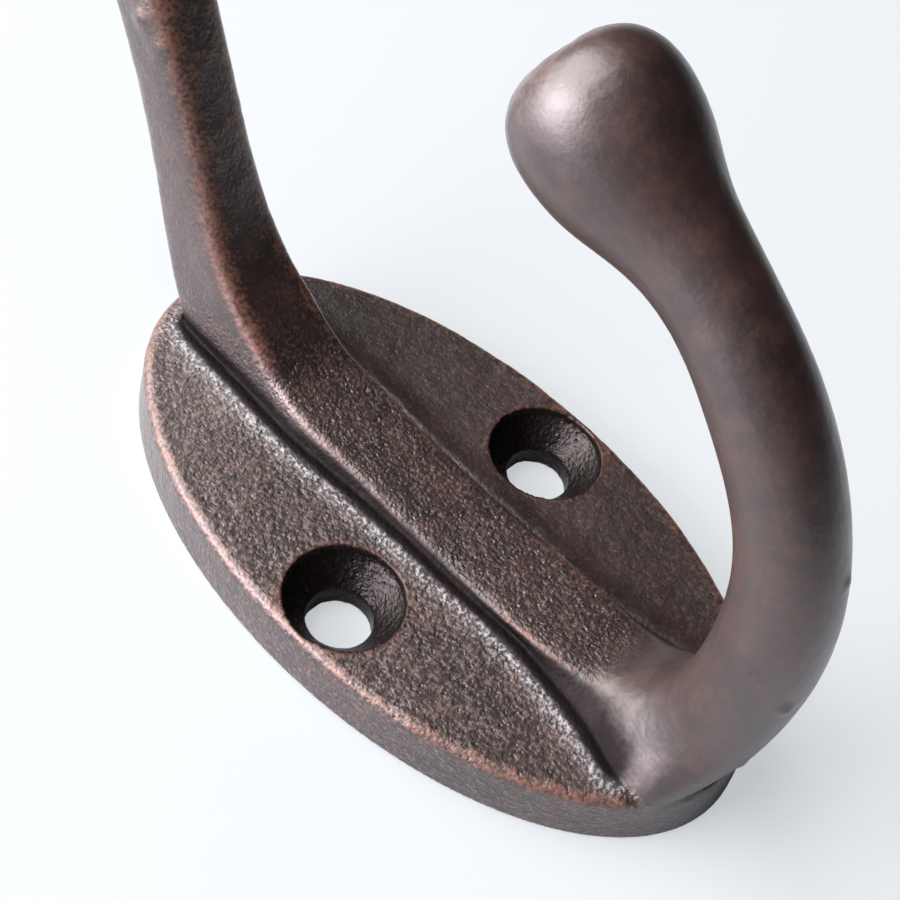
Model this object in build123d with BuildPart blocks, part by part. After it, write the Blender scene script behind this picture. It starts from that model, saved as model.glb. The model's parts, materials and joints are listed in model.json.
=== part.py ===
from build123d import *
from math import atan2, cos, degrees, radians, sin
import os

# Hat and coat hook, one iron casting, in millimetres.
# X is to the right, +Y goes into the wall and +Z is up. The back face lies in y = 0.
# Places on the middle plane are given as (out from the wall, up).

# Wall plate
plate_length = 66.0
plate_width = 36.7
plate_thickness = 5.2
plate_draft = 0.34
rim_radius = 0.8
back_edge_radius = 0.3

# Screw holes
hole_spacing = 25.1
hole_drop = 1.3
screw_hole = 5.8
countersink = 10.3
countersink_wall = 0.7
screw_land = 1.95

# Rib between the two arms: its height is measured from the wall at its low point
rib_width = 8.5
rib_height = 6.3
rib_low_point = -4.0
saddle_radius = 105.0
rib_draft = 0.3
spine_reach = 2.3
wall_cover = 1.0

# Lower hook: points of its centre line are measured from the lowest point of its bend
hook_foot_inset = 2.7
hook_foot_depth = 5.6
bend_depth = 8.6
throat_radius = 9.5
foot_flare = 0.7
foot_pinch = 0.55
hook_neck = 8.1
hook_points = [(11.9, 0.9), (22.1, 6.1), (30.6, 15.9)]
hook_end = (35.4, 26.15)
hook_end_lean = 28

# Upper arm: points of its centre line are measured from where it leaves the rib
arm_foot_inset = 25.0
arm_foot_depth = 5.6
arm_foot_front = 4.9
arm_foot_reach = 22.0
arm_side = 6.9
arm_squareness = 0.55
arm_round_start = 32.0
arm_round_end = 56.0
arm_points = [(3.2, 13.5), (9.7, 20.7), (21.8, 26.7), (30.4, 31.3), (51.7, 45.0), (67.2, 60.5)]
arm_end = (73.7, 72.0)
arm_end_lean = 24

# Knobs
knob_diameter = 12.9
knob_growth = 10.5
knob_length = 6.5
knob_fullness = 2.8
knob_face_radius = 0.8

# A quarter of a section as Bezier points, from its side to its top: of a circle and of a square
round_quarter = [(1, 0), (1, 0.3314), (0.8657, 0.6314), (0.6314, 0.8657), (0.3314, 1), (0, 1)]
square_quarter = [(1, 0), (1, 0.9), (1, 1), (1, 1), (0.9, 1), (0, 1)]


def mix(start, end, share):
    """A value that eases from start to end as share goes from 0 to 1."""
    share = min(max(share, 0.0), 1.0)
    return start + (end - start) * share * share * (3 - 2 * share)


def across(spot, way):
    """The plane of a section where the casting runs along way, with +y towards the front."""
    return Plane(origin=(0, -spot.X, spot.Y), x_dir=(-1, 0, 0), z_dir=(0, -way.X, way.Y))


def rib_front(height):
    """How far the rib's top stands in front of the spine."""
    return rib_height + (height - rib_low_point) ** 2 / (2 * saddle_radius) - spine_reach


def room_behind(spot, way):
    """How deep a section may go before it comes within wall_cover of the wall."""
    return (spot.X - wall_cover) / max(way.Y, 0.05)


def knob_rings(line, neck):
    """Spot, way and radius of the rings from an arm's neck to the end of its knob."""
    rings = []
    for share in (0, 1 / 3, 2 / 3, 1):
        along = 1 - knob_growth * (1 - share) / line.length
        rings.append((line @ along, line % along, mix(neck, knob_diameter, share) / 2))
    for turn in (30, 55, 72):
        past = knob_length * sin(radians(turn)) ** (2 / knob_fullness)
        radius = knob_diameter / 2 * cos(radians(turn)) ** (2 / knob_fullness)
        rings.append((line @ 1 + (line % 1) * past, line % 1, radius))
    return rings


def line_through(start, way, points, end, end_lean):
    """A centre line from start through points measured from it."""
    spots = [start + Vector(*point) for point in [*points, end]]
    return Spline([start, *spots], tangents=[way, Vector(0, 1).rotate(Axis.Z, -end_lean)])


# Centre lines of the two arms. The lower one bends about a pivot inside its throat.
bend_radius = throat_radius + bend_depth / 2
pivot = Vector(spine_reach + bend_radius, -plate_length / 2 + hook_foot_inset + bend_radius)
hook_start = pivot - Vector(0, bend_radius)
arm_start = Vector(spine_reach, plate_length / 2 - arm_foot_inset)
hook_line = line_through(hook_start, Vector(1, 0), hook_points, hook_end, hook_end_lean)
arm_line = line_through(arm_start, Vector(0, 1), arm_points, arm_end, arm_end_lean)

# Each station of the casting is (plane, half width, front depth, back depth, flare, squareness).
# They run from the end of the lower knob through the rib to the end of the upper knob.
stations = []

# Lower hook, from its knob to its bend
for spot, way, radius in reversed(knob_rings(hook_line, hook_neck)):
    stations.append((across(spot, -way), radius, radius, radius, 0, 0))
for share in (0.58, 0.42, 0.23):
    radius = mix(bend_depth, hook_neck, share * 2) / 2
    stations.append((across(hook_line @ share, -(hook_line % share)), radius, radius, radius, 0, 0))

# Bend of the lower hook, where it spreads into the foot of the rib
for turn in (90, 68, 45, 22, 0):
    way = Vector(0, 1).rotate(Axis.Z, turn)
    spot = pivot + way.rotate(Axis.Z, 90) * bend_radius
    spread = sin(radians(2 * turn))
    flare = rib_draft * way.Y**2 + foot_flare * spread * way.Y
    front = mix(rib_front(pivot.Y), bend_depth / 2, turn / 45)
    top = mix(rib_width, bend_depth, turn / 90) / 2 - foot_pinch * spread
    back = min(mix(hook_foot_depth, bend_depth / 2, turn / 60 - 0.5), room_behind(spot, way))
    stations.append((across(spot, way), top + flare * front, front, back, flare, way.Y**2))

# Rib
for share in (0.5, 1):
    spot = Vector(spine_reach, pivot.Y + (arm_start.Y - pivot.Y) * share)
    way = Vector(0, 1)
    front = rib_front(spot.Y)
    half = rib_width / 2 + rib_draft * front
    stations.append((across(spot, way), half, front, room_behind(spot, way), rib_draft, 1))

# Upper arm, from the rib to its neck
for share in (0.08, 0.15, 0.21, 0.28, 0.37, 0.5, 0.67):
    spot = arm_line @ share
    way = arm_line % share
    reach = spot.X - spine_reach
    front = mix(arm_foot_front, arm_side / 2, reach / arm_foot_reach)
    if reach < arm_points[0][0]:
        front = mix(rib_front(arm_start.Y), arm_foot_front, reach / arm_points[0][0])
    back = mix(arm_foot_depth, arm_side / 2, reach / arm_foot_reach)
    flare = mix(rib_draft, 0, reach / arm_foot_depth)
    half = mix(rib_width, arm_side, reach / arm_foot_reach) / 2 + flare * front
    squareness = mix(1, arm_squareness, reach / arm_foot_reach)
    squareness *= mix(1, 0, (reach - arm_round_start) / (arm_round_end - arm_round_start))
    stations.append((across(spot, way), half, front, min(back, room_behind(spot, way)), flare, squareness))
for spot, way, radius in knob_rings(arm_line, arm_side):
    stations.append((across(spot, way), radius, radius, radius, 0, 0))

# Wall plate, drawn in a little towards its face
with BuildPart() as plate:
    with BuildSketch(Plane.XZ):
        Ellipse(plate_width / 2 + plate_draft, plate_length / 2 + plate_draft)
    with BuildSketch(Plane.XZ.offset(plate_thickness)):
        Ellipse(plate_width / 2, plate_length / 2)
    loft()
    fillet(plate.faces().sort_by(Axis.Y).first.edges(), rim_radius)
    fillet(plate.faces().sort_by(Axis.Y).last.edges(), back_edge_radius)

with BuildPart() as casting:
    # Both arms and the rib as one skin
    for plane, half, front, back, flare, squareness in stations:
        quarter = [
            (a + (c - a) * squareness, b + (d - b) * squareness)
            for (a, b), (c, d) in zip(round_quarter, square_quarter)
        ]
        upper = [(x * (half - flare * y * front), y * front) for x, y in quarter]
        lower = [(x * (half + flare * y * back), -y * back) for x, y in quarter]
        with BuildSketch(plane):
            with BuildLine():
                Bezier(*upper)
                Bezier(*[(-x, y) for x, y in reversed(upper)])
                Bezier(*[(-x, y) for x, y in lower])
                Bezier(*reversed(lower))
            make_face()
    loft()
    fillet(casting.faces().filter_by(GeomType.PLANE).edges(), knob_face_radius)

    add(plate.part)

    # Screw holes: a short wall, a cone and a straight land
    cone_depth = plate_thickness - countersink_wall - screw_land
    cone_angle = 2 * degrees(atan2((countersink - screw_hole) / 2, cone_depth))
    hole_places = [(hole_spacing / 2, -hole_drop), (-hole_spacing / 2, -hole_drop)]
    with Locations(Plane.XZ.offset(plate_thickness)):
        with Locations(*hole_places):
            Hole(countersink / 2, depth=countersink_wall)
    with Locations(Plane.XZ.offset(plate_thickness - countersink_wall)):
        with Locations(*hole_places):
            CounterSinkHole(screw_hole / 2, countersink / 2, counter_sink_angle=cone_angle)

casting.part.label = "hook_casting"
os.makedirs("parts", exist_ok=True)
export_step(casting.part, "parts/hook_casting.step")
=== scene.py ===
import json
from types import SimpleNamespace
import bpy
import numpy as np
from mathutils import Matrix, Vector, noise
from mathutils.kdtree import KDTree


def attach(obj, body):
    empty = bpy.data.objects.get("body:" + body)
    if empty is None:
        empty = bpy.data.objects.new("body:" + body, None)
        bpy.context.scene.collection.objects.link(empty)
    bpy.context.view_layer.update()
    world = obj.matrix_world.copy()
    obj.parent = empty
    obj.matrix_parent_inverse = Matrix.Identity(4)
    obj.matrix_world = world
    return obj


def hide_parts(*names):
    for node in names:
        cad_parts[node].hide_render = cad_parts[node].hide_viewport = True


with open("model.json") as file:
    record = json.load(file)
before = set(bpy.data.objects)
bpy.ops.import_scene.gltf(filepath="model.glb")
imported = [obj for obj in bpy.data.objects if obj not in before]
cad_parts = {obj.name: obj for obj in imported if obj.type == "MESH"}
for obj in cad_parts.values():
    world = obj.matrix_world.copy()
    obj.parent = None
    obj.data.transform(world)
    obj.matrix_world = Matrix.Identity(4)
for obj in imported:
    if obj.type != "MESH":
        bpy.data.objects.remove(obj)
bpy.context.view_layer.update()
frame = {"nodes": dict(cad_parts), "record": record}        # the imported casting, fixed on the wall with its back in y = 0

MM = 0.001


def colour(red, green, blue):
    """A colour written as on a screen, 0 to 255, turned linear."""
    screen = [level / 255 for level in (red, green, blue)]
    linear = [((c + 0.055) / 1.055) ** 2.4 if c > 0.04 else c / 12.92 for c in screen]
    return (*linear, 1)


# The photograph's view of the hook, which lies on its back
CAMERA_PLACE = Vector((-77.8, -122.1, -47.0)) * MM
CAMERA_TARGET = Vector((9.33, 0, 6.55)) * MM
CAMERA_UP = Vector((0.474, -0.615, 0.631))
CAMERA_NEAR = 5 * MM
LENS = 68.3
SENSOR = 36

# Room and floor. The room is dark up to ROOM_TURN towards BRIGHT_SIDE, and brightens from there.
BRIGHT_SIDE = Vector((-0.9, 0.1, 0.35))
ROOM_TURN = -0.25
ROOM_DARK = 0.02
ROOM_BRIGHT = 0.6
ROOM = colour(236, 240, 246)
FLOOR = colour(188, 191, 194)
FLOOR_GLOW = colour(236, 240, 243)
GLOW_SHARE = 0.61
FLOOR_HALF = 1.5
FLOOR_GAP = 0.05 * MM
FLOOR_TOUCH = 0.3 * MM

# Plate and screw holes, in millimetres: where the record has the holes, the radius of their
# mouths, and how far out from the wall the plate's face lies
screws = next(mount for mount in frame["record"]["mounts"] if mount["name"] == "screw_holes")
HOLE_SIDE = screws["dims"]["spacing_x_mm"] / 2
HOLE_HEIGHT = screws["pos_m"][2] / MM
HOLE_RIM = 5.2
PLATE_FACE = 5.2

# Mesh of the casting, and rounds of smoothing
VOXEL = 0.2 * MM
TRIANGLES = 190_000
FAIRING_ROUNDS = 4
ROOT_SPREAD = 70
ROOT_FILL = 0.5
ROOT_ROUNDS = 6
FLANK_ROUNDS = 8
RIDGE_ROUNDS = 26
RIDGE_STRENGTH = 0.9

# Waves of the cast skin: size and height, in millimetres
WAVES = ((5, 0.07), (1.8, 0.04), (0.7, 0.025))

# Finish: colours, sizes of its patches and height of its relief in millimetres, and coat
# The darkest colour, for cast pits and also for painted shade in hollows, holes and the rib's
# flank
PIT_AND_SHADE = colour(22, 17, 17)
BROWN_DARK = colour(38, 24, 21)
BROWN = colour(54, 36, 32)
BROWN_WARM = colour(74, 46, 38)
# Lighter brown for worn grain peaks, and also painted light on the plate's left half
WORN_AND_LIT_BROWN = colour(118, 100, 95)
COPPER_DULL = colour(116, 74, 58)
# Copper of worn crisp edges, and also a painted highlight along them
EDGE_COPPER_AND_HIGHLIGHT = colour(182, 136, 104)
# A painted highlight colour, for the glints beside the rib's root
PAINTED_GLINT_SILVER = colour(150, 151, 157)
GRAIN = 0.36
PORES = 0.75
CLUMPS = 0.9
MOTTLE = 2.4
CLOUDS = 7
RELIEF = 0.15
METALLIC = 0.25
IOR = 1.5
COAT = 0.9
COAT_ROUGHNESS = 0.4
COAT_IOR = 1.55


# Mesh. Functions here take spots in metres, and their bare lengths are in millimetres.


def mesh_edges(mesh):
    """The two vertex numbers of each edge."""
    edges = np.empty(len(mesh.edges) * 2, dtype=np.int32)
    mesh.edges.foreach_get("vertices", edges)
    return edges.reshape(-1, 2)


def vertex_values(mesh, name):
    """The place ("co") or the normal of each vertex."""
    values = np.empty(len(mesh.vertices) * 3)
    mesh.vertices.foreach_get(name, values)
    return values.reshape(-1, 3)


def moved(mesh, spots):
    """Moves the vertices, and gives their places and normals as the mesh now holds them."""
    mesh.vertices.foreach_set("co", spots.ravel())
    mesh.update()
    return vertex_values(mesh, "co"), vertex_values(mesh, "normal")


def through_modifier(obj, kind, **settings):
    """Replaces obj's mesh by what one modifier makes of it."""
    modifier = obj.modifiers.new("step", kind)
    for name, value in settings.items():
        setattr(modifier, name, value)
    graph = bpy.context.evaluated_depsgraph_get()
    mesh = bpy.data.meshes.new_from_object(obj.evaluated_get(graph))
    obj.modifiers.clear()
    obj.data = mesh
    return mesh


def neighbour_mean(values, edges):
    """The mean of values over each vertex's neighbours."""
    first, second = edges.T
    size = len(values)
    count = np.bincount(first, minlength=size) + np.bincount(second, minlength=size)
    columns = [
        np.bincount(first, column[second], size) + np.bincount(second, column[first], size)
        for column in values.T
    ]
    return np.stack(columns, axis=1) / count[:, None]


def relaxed(values, edges, rounds, strength=1.0):
    """Values drawn towards the mean of their neighbours, rounds times over."""
    for _ in range(rounds):
        values = values + (neighbour_mean(values, edges) - values) * strength
    return values


def blurred(share, edges, rounds):
    """One number for each vertex, relaxed."""
    return relaxed(share[:, None], edges, rounds)[:, 0]


def faired(spots, edges, rounds):
    """Spots smoothed without shrinking: each step in is followed by a step out."""
    for _ in range(rounds):
        spots = relaxed(spots, edges, 1, 0.6)
        spots = relaxed(spots, edges, 1, -0.63)
    return spots


def rise(value, low, high):
    """0 below low, 1 above high, easing between them."""
    share = np.clip((value - low) / (high - low), 0, 1)
    return share * share * (3 - 2 * share)


def placed(spots):
    """How far right, out from the wall and up each spot lies, in millimetres."""
    side, depth, height = (spots / MM).T
    return side, -depth, height


def proudness(spots, normals, edges, rounds):
    """How far each vertex stands out of its own smoothed surroundings, in millimetres."""
    smooth = relaxed(spots, edges, rounds, 0.7)
    return np.einsum("ij,ij->i", spots - smooth, normals) / MM


def hole_share(spots):
    """1 inside the screw holes and their countersinks, 0 away from them."""
    side, _, height = placed(spots)
    distance = np.hypot(np.abs(side) - HOLE_SIDE, height - HOLE_HEIGHT)
    return rise(distance, HOLE_RIM + 0.4, HOLE_RIM)


def root_corner(spots, normals, edges):
    """1 in the corner between the plate and what stands on it, 0 away from it."""
    _, out, _ = placed(spots)
    hollow = -proudness(spots, normals, edges, 20)
    return rise(hollow, 0.03, 0.08) * (1 - hole_share(spots)) * rise(out, 2, 4)


def root_band(corner, edges):
    """The corner spread to a band on both sides, of about even strength along it."""
    band = blurred(corner, edges, ROOT_SPREAD)
    return np.minimum(band / np.percentile(band[corner > 0.9], 40), 1)


def plate_share(spots, normals):
    """1 on the plate's face, 0 on what stands on it."""
    _, out, _ = placed(spots)
    return rise(-normals[:, 1], 0.5, 0.85) * rise(out, PLATE_FACE + 1, PLATE_FACE + 0.4)


def left_share(spots):
    """1 on the left half of the casting, 0 on the right."""
    side, _, _ = placed(spots)
    return rise(side, 0.5, -0.5)


def left_flank(spots, normals, edges, band):
    """1 on the rib's steep left side and in the corner at its root, fading outwards."""
    _, out, height = placed(spots)
    top = 7 + 2.5 * rise(height, -12, -22)
    facing_left = rise(-normals[:, 0], 0.3, 0.6)
    above_plate = rise(out, PLATE_FACE - 0.3, PLATE_FACE + 0.1)
    flank = facing_left * above_plate * rise(out, top + 1.5, PLATE_FACE + 0.2)
    flank = np.maximum(flank * (1 - hole_share(spots)), rise(band, 0.62, 0.8))
    flank = flank * left_share(spots) * rise(height, -30, -26)
    return blurred(flank, edges, FLANK_ROUNDS)


def fill_root(spots, normals, edges, corner, slope):
    """Raises the plate's face in a soft slope towards the rib, and rounds the corner."""
    spots = spots + normals * (slope * ROOT_FILL * MM)[:, None]
    return relaxed(spots, edges, ROOT_ROUNDS, relaxed(corner[:, None], edges, 2))


def soften_arm_ridge(spots, normals, edges):
    """Blunts the arm's left ridge from just above the rib, whose own edges stay crisp."""
    side, out, height = placed(spots)
    blunt = rise(height, 15.8, 17.8) * rise(out, 6, 8) * rise(side, 0.5, -1.5)
    blunt *= rise(proudness(spots, normals, edges, 30), 0.0, 0.08)
    blunt = relaxed(blunt[:, None], edges, 2)
    return relaxed(spots, edges, RIDGE_ROUNDS, blunt * RIDGE_STRENGTH)


def swell(spots, size, seed):
    """Smooth noise of about unit height and the given size over the spots."""
    shift = Vector((seed * 17.3, seed * 5.9, seed * 11.1))
    return np.array([noise.noise(Vector(spot) / size + shift) for spot in spots])


def cast_waves(spots, hole):
    """Height of the uneven cast skin, in millimetres. The lower hook is smoother."""
    _, out, height = placed(spots)
    calm = 0.8 * rise(out, 8, 14) * (height < 0)
    waves = sum(
        swing * swell(spots, size * MM, seed) for seed, (size, swing) in enumerate(WAVES, start=1)
    )
    return waves * (1 - calm) * rise(out, 0.2, 1.5) * (1 - 0.6 * hole)


def bulge(spots, centre, radius):
    """A soft round hill over the spots, of height 1 at its centre."""
    distance = np.linalg.norm(spots - np.array(centre) * MM, axis=1)
    return np.exp(-((distance / (radius * MM)) ** 2))


def casting_marks(spots):
    """Height of the small lumps that the mould left, in millimetres."""
    height = 0.4 * bulge(spots, (-3.1, -33.6, 38.4), 1.1)
    height += 0.2 * bulge(spots, (-2.7, -31.6, 36.4), 0.9)
    height += 0.28 * bulge(spots, (-1.9, -19.7, -34.2), 0.7)
    height += 0.22 * bulge(spots, (-2.0, -10.9, -33.7), 0.6)
    height += 0.18 * bulge(spots, (1.0, -31.6, -32.4), 0.6)
    return height


def thin_out(obj, spots, looks):
    """Leaves fewer triangles, each vertex with the looks of the spot nearest to it."""
    tree = KDTree(len(spots))
    for index, spot in enumerate(spots):
        tree.insert(spot, index)
    tree.balance()
    mesh = through_modifier(obj, "TRIANGULATE")
    mesh = through_modifier(obj, "DECIMATE", ratio=TRIANGLES / len(mesh.polygons))
    nearest = [tree.find(vertex.co)[1] for vertex in mesh.vertices]
    for name, values in looks.items():
        layer = mesh.attributes.new(name, "FLOAT", "POINT")
        layer.data.foreach_set("value", values[nearest].astype(np.float32))
    mesh.shade_smooth()


def casting_piece(node):
    """The casting's rough skin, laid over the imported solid."""
    obj = bpy.data.objects.new("hook_casting_skin", node.data.copy())
    bpy.context.scene.collection.objects.link(obj)
    mesh = through_modifier(obj, "REMESH", mode="VOXEL", voxel_size=VOXEL)
    edges = mesh_edges(mesh)
    spots = faired(vertex_values(mesh, "co"), edges, FAIRING_ROUNDS)
    spots, normals = moved(mesh, spots)

    corner = root_corner(spots, normals, edges)
    band = root_band(corner, edges)
    slope = band * plate_share(spots, normals)
    root = slope * left_share(spots)
    flank = left_flank(spots, normals, edges, band)
    spots, normals = moved(mesh, fill_root(spots, normals, edges, corner, slope))
    spots, normals = moved(mesh, soften_arm_ridge(spots, normals, edges))

    hole = hole_share(spots)
    height = cast_waves(spots, hole) + casting_marks(spots)
    spots, normals = moved(mesh, spots + normals * (height * MM)[:, None])
    looks = {
        "fine": proudness(spots, normals, edges, 8),
        "broad": proudness(spots, normals, edges, 60),
        "root": root,
        "flank": flank,
        "hole": hole,
    }
    thin_out(obj, spots, looks)
    return obj


# Materials


class Nodes:
    """The node tree of a new material or world, and short ways to add and join its nodes."""

    def __init__(self, owner):
        owner.use_nodes = True
        self.tree = owner.node_tree
        self.tree.nodes.clear()

    def put(self, socket, value):
        """Joins an output to a socket, or sets the socket to a plain value."""
        if isinstance(value, bpy.types.NodeSocket):
            self.tree.links.new(value, socket)
        else:
            socket.default_value = value

    def add(self, kind, settings=None, **inputs):
        """A node with settings, and with its inputs, by name, set or joined."""
        node = self.tree.nodes.new(kind)
        for name, value in (settings or {}).items():
            setattr(node, name, value)
        for name, value in inputs.items():
            self.put(node.inputs[name.replace("_", " ")], value)
        return node

    def maths(self, operation, *values):
        """Two or more values taken together, from first to last."""
        result, *others = values
        for value in others:
            node = self.add("ShaderNodeMath", {"operation": operation})
            self.put(node.inputs[0], result)
            self.put(node.inputs[1], value)
            result = node.outputs["Value"]
        return result

    def times(self, *values):
        return self.maths("MULTIPLY", *values)

    def plus(self, *values):
        return self.maths("ADD", *values)

    def most(self, *values):
        return self.maths("MAXIMUM", *values)

    def rest(self, share):
        """What a share leaves of 1."""
        return self.maths("SUBTRACT", 1.0, share)

    def rise(self, value, low, high, start=0.0, end=1.0):
        """Eases from start to end as value goes from low to high."""
        node = self.add(
            "ShaderNodeMapRange", {"interpolation_type": "SMOOTHSTEP"},
            Value=value, From_Min=low, From_Max=high, To_Min=start, To_Max=end,
        )
        return node.outputs["Result"]

    def blend(self, share, first, second):
        """Two colours mixed by share, on the mix node's sockets for colours."""
        node = self.add("ShaderNodeMix", {"data_type": "RGBA"})
        for index, value in zip((0, 6, 7), (share, first, second)):
            self.put(node.inputs[index], value)
        return node.outputs[2]

    def mix_shaders(self, share, first, second):
        """Two shaders mixed by share."""
        node = self.add("ShaderNodeMixShader", Fac=share)
        self.put(node.inputs[1], first)
        self.put(node.inputs[2], second)
        return node.outputs["Shader"]

    def noise(self, place, size, detail=2.0, roughness=0.5):
        """Noise with features of about the given size, in millimetres."""
        node = self.add(
            "ShaderNodeTexNoise",
            Vector=place, Scale=1 / (size * MM), Detail=detail, Roughness=roughness,
        )
        return node.outputs["Fac"]

    def cells(self, place, size):
        """Distance from the middles of cells of about the given size, in millimetres."""
        node = self.add("ShaderNodeTexVoronoi", Vector=place, Scale=1 / (size * MM))
        return node.outputs["Distance"]

    def attribute(self, name):
        return self.add("ShaderNodeAttribute", {"attribute_name": name}).outputs["Fac"]


def casting_regions(n, place):
    """Shares for the regions of the casting that differ in finish."""
    spot = n.add("ShaderNodeSeparateXYZ", Vector=place).outputs
    side = n.times(spot["X"], 1 / MM)
    out = n.times(spot["Y"], -1 / MM)
    height = n.times(spot["Z"], 1 / MM)

    # The lower hook and its foot are smooth, and the upper arm is less grainy than the plate
    below = n.rise(height, 4, -4)
    reach = n.plus(out, n.rise(height, -17, -27, 0, 5))
    off_plate = n.rise(out, PLATE_FACE + 0.1, PLATE_FACE + 0.8)
    smooth = n.times(n.rise(reach, 7, 11), below, off_plate)
    arm = n.times(n.rise(out, 8, 12), n.rest(below))

    # Painted light and shade: the plate's face is painted paler on the left of the rib, and
    # darker on its right
    flat = n.times(
        n.rise(out, PLATE_FACE - 0.6, PLATE_FACE - 0.2),
        n.rise(out, PLATE_FACE + 1, PLATE_FACE + 0.4),
    )
    return SimpleNamespace(
        smooth=smooth,
        arm=arm,
        grainy=n.rest(n.plus(n.times(smooth, 0.88), n.times(arm, 0.62))),
        flat=flat,
        pale=n.times(n.rise(side, 0, -6), flat, n.rise(height, -26, -12)),
        painted_shade_right=n.times(n.rise(side, 0, 6), flat),
    )


def finish_texture(n, place):
    """The patches of the finish, from its fine grain to its broad clouds."""
    return SimpleNamespace(
        grain=n.noise(place, GRAIN, detail=1.5),
        pores=n.cells(place, PORES),
        clumps=n.noise(place, CLUMPS),
        mottle=n.noise(place, MOTTLE, detail=3, roughness=0.6),
        clouds=n.noise(place, CLOUDS, detail=3, roughness=0.55),
    )


def finish_wear(n, front, region, texture):
    """Shares for worn edges with a painted highlight, painted shade in the rib's flank, hollows
    and holes, and a painted strip of glints. front is how far a surface faces the room.
    """
    fine = n.attribute("fine")
    root = n.attribute("root")
    hole = n.attribute("hole")
    uneven = n.times(n.plus(texture.clumps, texture.grain, -1.0), 0.1)

    # Crisp edges of the plate and rib, worn copper with a painted highlight where they face half
    # towards the room, and the broader ridges of the arm
    sharp = n.rise(n.plus(fine, n.times(uneven, 0.5)), 0.07, 0.13)
    sharp = n.times(sharp, n.rest(hole), n.rise(front, 0.4, 0.58), n.rise(front, 0.93, 0.84))
    ridge = n.plus(n.attribute("broad"), n.times(uneven, 2.0))
    ridge = n.rise(n.times(ridge, n.plus(n.times(region.arm, 1.6), 1.0)), 0.08, 0.32)
    ridge = n.times(ridge, n.rest(region.smooth), n.rise(front, 0.1, 0.4))

    # Painted shade: the rib's steep left side and the corner at its root are painted dark and
    # dulled, and a painted highlight, a strip of silvery glints, runs beside it
    # Painted shade on the rib's left flank and its root corner
    painted_flank_shade = n.rise(n.plus(n.attribute("flank"), n.times(uneven, 2.0)), 0.1, 0.85)
    painted_flank_shade = n.times(painted_flank_shade, n.rest(sharp))
    # Painted highlight: a strip of silvery glints beside the rib's root
    painted_glint_strip = n.rise(n.plus(root, n.times(uneven, 8.0)), 0.2, 0.75)
    painted_glint_strip = n.times(painted_glint_strip, n.rise(root, 0.02, 0.15), n.rest(painted_flank_shade))
    # Painted shade darkens small hollows, corners and the screw holes
    painted_hollow_shade = n.most(n.rise(n.plus(fine, uneven), -0.03, -0.10), hole)
    return SimpleNamespace(
        sharp=sharp, ridge=ridge, painted_flank_shade=painted_flank_shade, painted_glint_strip=painted_glint_strip, painted_hollow_shade=painted_hollow_shade, hole=hole
    )


def finish_colour(n, region, texture, wear):
    """Dark lacquer over copper, worn by the shares, with painted shade and painted highlights."""
    grain = texture.grain
    base = n.blend(n.rise(texture.clouds, 0.35, 0.65), BROWN_DARK, BROWN)
    base = n.blend(n.rise(texture.mottle, 0.45, 0.75, 0, 0.5), base, BROWN_WARM)
    pit = n.most(n.rise(grain, 0.46, 0.34), n.rise(texture.pores, 0.22, 0.08))
    peak = n.rise(grain, 0.55, 0.66)
    base = n.blend(n.times(pit, region.grainy, 0.8), base, PIT_AND_SHADE)
    base = n.blend(n.times(peak, region.grainy, 0.35), base, WORN_AND_LIT_BROWN)
    # Painted light on the plate's face left of the rib, and painted shade on its right
    base = n.blend(n.times(region.pale, n.rise(grain, 0.44, 0.62, 0, 0.2)), base, WORN_AND_LIT_BROWN)
    base = n.blend(n.times(region.painted_shade_right, 0.6), base, BROWN_DARK)

    # Copper shows on worn edges with a painted highlight, painted shade darkens hollows, holes
    # and the rib's flank, and a painted highlight strip is silvery
    base = n.blend(n.times(wear.ridge, n.rise(grain, 0.38, 0.55, 0.2, 0.75)), base, COPPER_DULL)
    base = n.blend(n.times(wear.sharp, 0.8), base, EDGE_COPPER_AND_HIGHLIGHT)
    base = n.blend(n.times(wear.painted_hollow_shade, 0.75), base, PIT_AND_SHADE)
    base = n.blend(n.times(wear.painted_flank_shade, 0.95), base, PIT_AND_SHADE)
    return n.blend(n.times(wear.painted_glint_strip, n.rise(grain, 0.47, 0.6, 0, 0.65)), base, PAINTED_GLINT_SILVER)


def finish_relief(n, region, texture, wear):
    """The grainy skin's normal, calmer on worn edges and ridges, on the painted edge highlights,
    on the painted shade of the rib's flank, and on the plate's right.
    """
    height = n.plus(
        n.times(texture.grain, 0.8),
        n.times(texture.clumps, 0.6),
        n.times(n.rise(texture.pores, 0.0, 0.3), 0.35),
    )
    calm = n.most(wear.sharp, wear.ridge, wear.painted_flank_shade, region.painted_shade_right)
    strength = n.times(region.grainy, n.rest(n.times(calm, 0.5)))
    bump = n.add("ShaderNodeBump", Height=height, Strength=strength, Distance=RELIEF * MM)
    return bump.outputs["Normal"]


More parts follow.
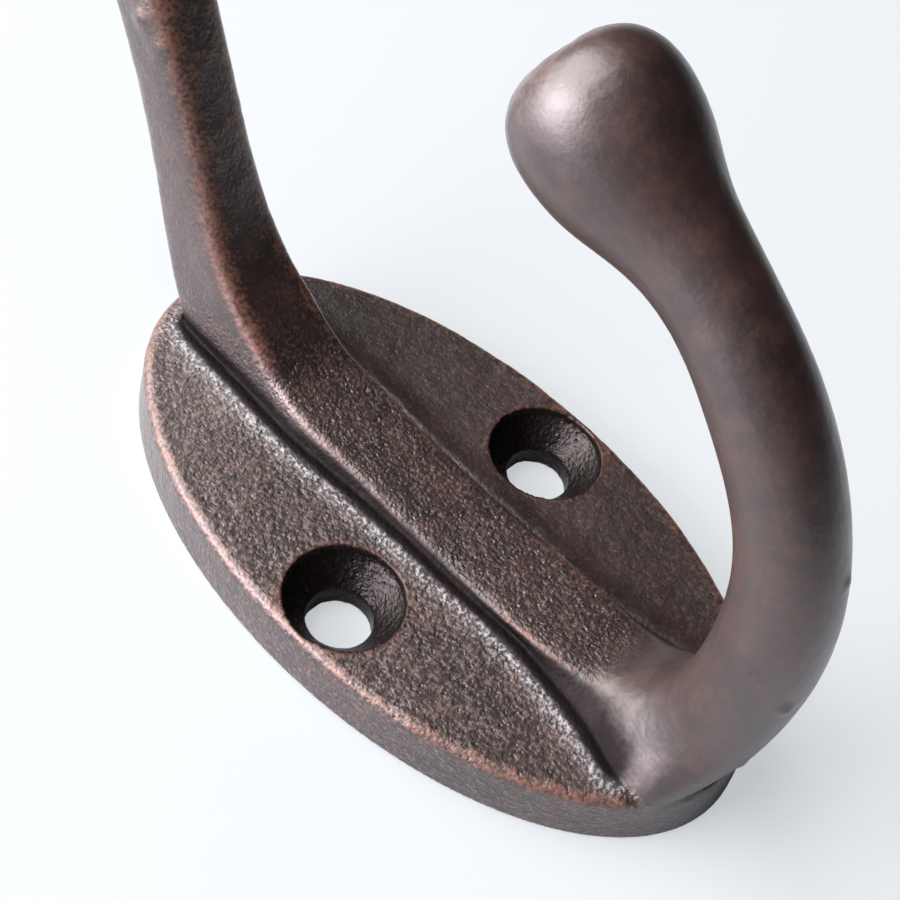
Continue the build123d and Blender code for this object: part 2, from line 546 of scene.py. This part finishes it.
def antique_copper():
    """Cast iron with a dark, worn copper finish."""
    material = bpy.data.materials.new("antique_copper_on_iron")
    n = Nodes(material)
    coordinates = n.add("ShaderNodeTexCoord").outputs
    place = coordinates["Object"]
    facing = n.add("ShaderNodeSeparateXYZ", Vector=coordinates["Normal"])
    front = n.times(facing.outputs["Y"], -1.0)
    region = casting_regions(n, place)
    texture = finish_texture(n, place)
    wear = finish_wear(n, front, region, texture)
    relief = finish_relief(n, region, texture, wear)

    rough = n.plus(
        n.rise(texture.mottle, 0.3, 0.7, 0.36, 0.46),
        n.times(region.flat, 0.12),
        n.times(wear.painted_glint_strip, -0.18),
        n.times(wear.painted_flank_shade, 0.15),
    )
    metal = n.plus(METALLIC, n.times(n.most(wear.painted_flank_shade, wear.hole), 0.6))
    coat = n.times(n.rest(n.most(wear.painted_flank_shade, n.times(wear.hole, 0.7))), COAT)
    shader = n.add(
        "ShaderNodeBsdfPrincipled",
        Base_Color=finish_colour(n, region, texture, wear), Metallic=metal, Roughness=rough,
        IOR=IOR, Normal=relief, Coat_Weight=coat, Coat_Roughness=COAT_ROUGHNESS,
        Coat_IOR=COAT_IOR, Coat_Normal=relief,
    )
    n.add("ShaderNodeOutputMaterial", Surface=shader.outputs["BSDF"])
    return material


def pale_floor():
    """Seen from its front only. It lets through rays that start on the plate's back."""
    material = bpy.data.materials.new("pale_floor")
    n = Nodes(material)
    light = n.add("ShaderNodeLightPath").outputs
    behind = n.add("ShaderNodeNewGeometry").outputs["Backfacing"]
    touching = n.maths("LESS_THAN", light["Ray Length"], FLOOR_TOUCH)
    matt = n.add("ShaderNodeBsdfDiffuse", Color=FLOOR).outputs["BSDF"]
    glow = n.add("ShaderNodeEmission", Color=FLOOR_GLOW).outputs["Emission"]
    through = n.add("ShaderNodeBsdfTransparent").outputs["BSDF"]
    lit = n.mix_shaders(n.times(light["Is Camera Ray"], GLOW_SHARE), matt, glow)
    floor = n.mix_shaders(n.most(behind, touching), lit, through)
    n.add("ShaderNodeOutputMaterial", Surface=floor)
    return material


# Stage


def add_floor():
    """A pale sheet just behind the plate's back, facing the front."""
    corners = [
        (right * FLOOR_HALF, FLOOR_GAP, up * FLOOR_HALF)
        for right, up in ((-1, -1), (1, -1), (1, 1), (-1, 1))
    ]
    mesh = bpy.data.meshes.new("floor")
    mesh.from_pydata(corners, [], [(0, 1, 2, 3)])
    mesh.materials.append(pale_floor())
    floor = bpy.data.objects.new("floor", mesh)
    bpy.context.scene.collection.objects.link(floor)


def add_lamp(name, direction, distance, size, power, tint=(1, 1, 1)):
    """A soft square lamp, in the given direction from the middle of the view."""
    light = bpy.data.lights.new(name, "AREA")
    light.size = size
    light.energy = power
    light.color = tint
    lamp = bpy.data.objects.new(name, light)
    towards = Vector(direction).normalized()
    lamp.location = CAMERA_TARGET + towards * distance
    lamp.rotation_mode = "QUATERNION"
    lamp.rotation_quaternion = towards.to_track_quat("Z", "Y")
    bpy.context.scene.collection.objects.link(lamp)


def add_world():
    """A pale room, brighter on its upper left side than on its lower right."""
    world = bpy.data.worlds.new("pale_room")
    bpy.context.scene.world = world
    n = Nodes(world)
    side = n.add("ShaderNodeVectorMath", {"operation": "DOT_PRODUCT"})
    n.put(side.inputs[0], n.add("ShaderNodeTexCoord").outputs["Generated"])
    n.put(side.inputs[1], BRIGHT_SIDE.normalized())
    level = n.add(
        "ShaderNodeMapRange",
        Value=side.outputs["Value"], From_Min=ROOM_TURN, To_Min=ROOM_DARK, To_Max=ROOM_BRIGHT,
    )
    room = n.add("ShaderNodeBackground", Color=ROOM, Strength=level.outputs["Result"])
    n.add("ShaderNodeOutputWorld", Surface=room.outputs["Background"])


def add_camera():
    """The photograph's camera."""
    data = bpy.data.cameras.new("camera")
    data.sensor_width = SENSOR
    data.lens = LENS
    data.clip_start = CAMERA_NEAR
    camera = bpy.data.objects.new("camera", data)
    bpy.context.scene.collection.objects.link(camera)
    back = (CAMERA_PLACE - CAMERA_TARGET).normalized()
    right = CAMERA_UP.cross(back).normalized()
    up = back.cross(right)
    turn = Matrix((right, up, back)).transposed().to_4x4()
    camera.matrix_world = Matrix.Translation(CAMERA_PLACE) @ turn
    bpy.context.scene.camera = camera


casting = casting_piece(frame["nodes"]["hook_casting"])
casting.data.materials.clear()
casting.data.materials.append(antique_copper())
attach(casting, "root")
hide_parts("hook_casting")

add_floor()
add_world()
add_lamp("key", direction=(-0.38, -0.67, 0.64), distance=0.6, size=0.78, power=12.5)
add_lamp(
    "window", direction=(-0.84, -0.34, 0.42), distance=0.7, size=0.5, power=9, tint=(0.95, 0.9, 1)
)
add_lamp("behind", direction=(-0.45, 0.85, 0.3), distance=0.6, size=0.5, power=5)
add_camera()
bpy.context.scene.view_settings.view_transform = "Standard"
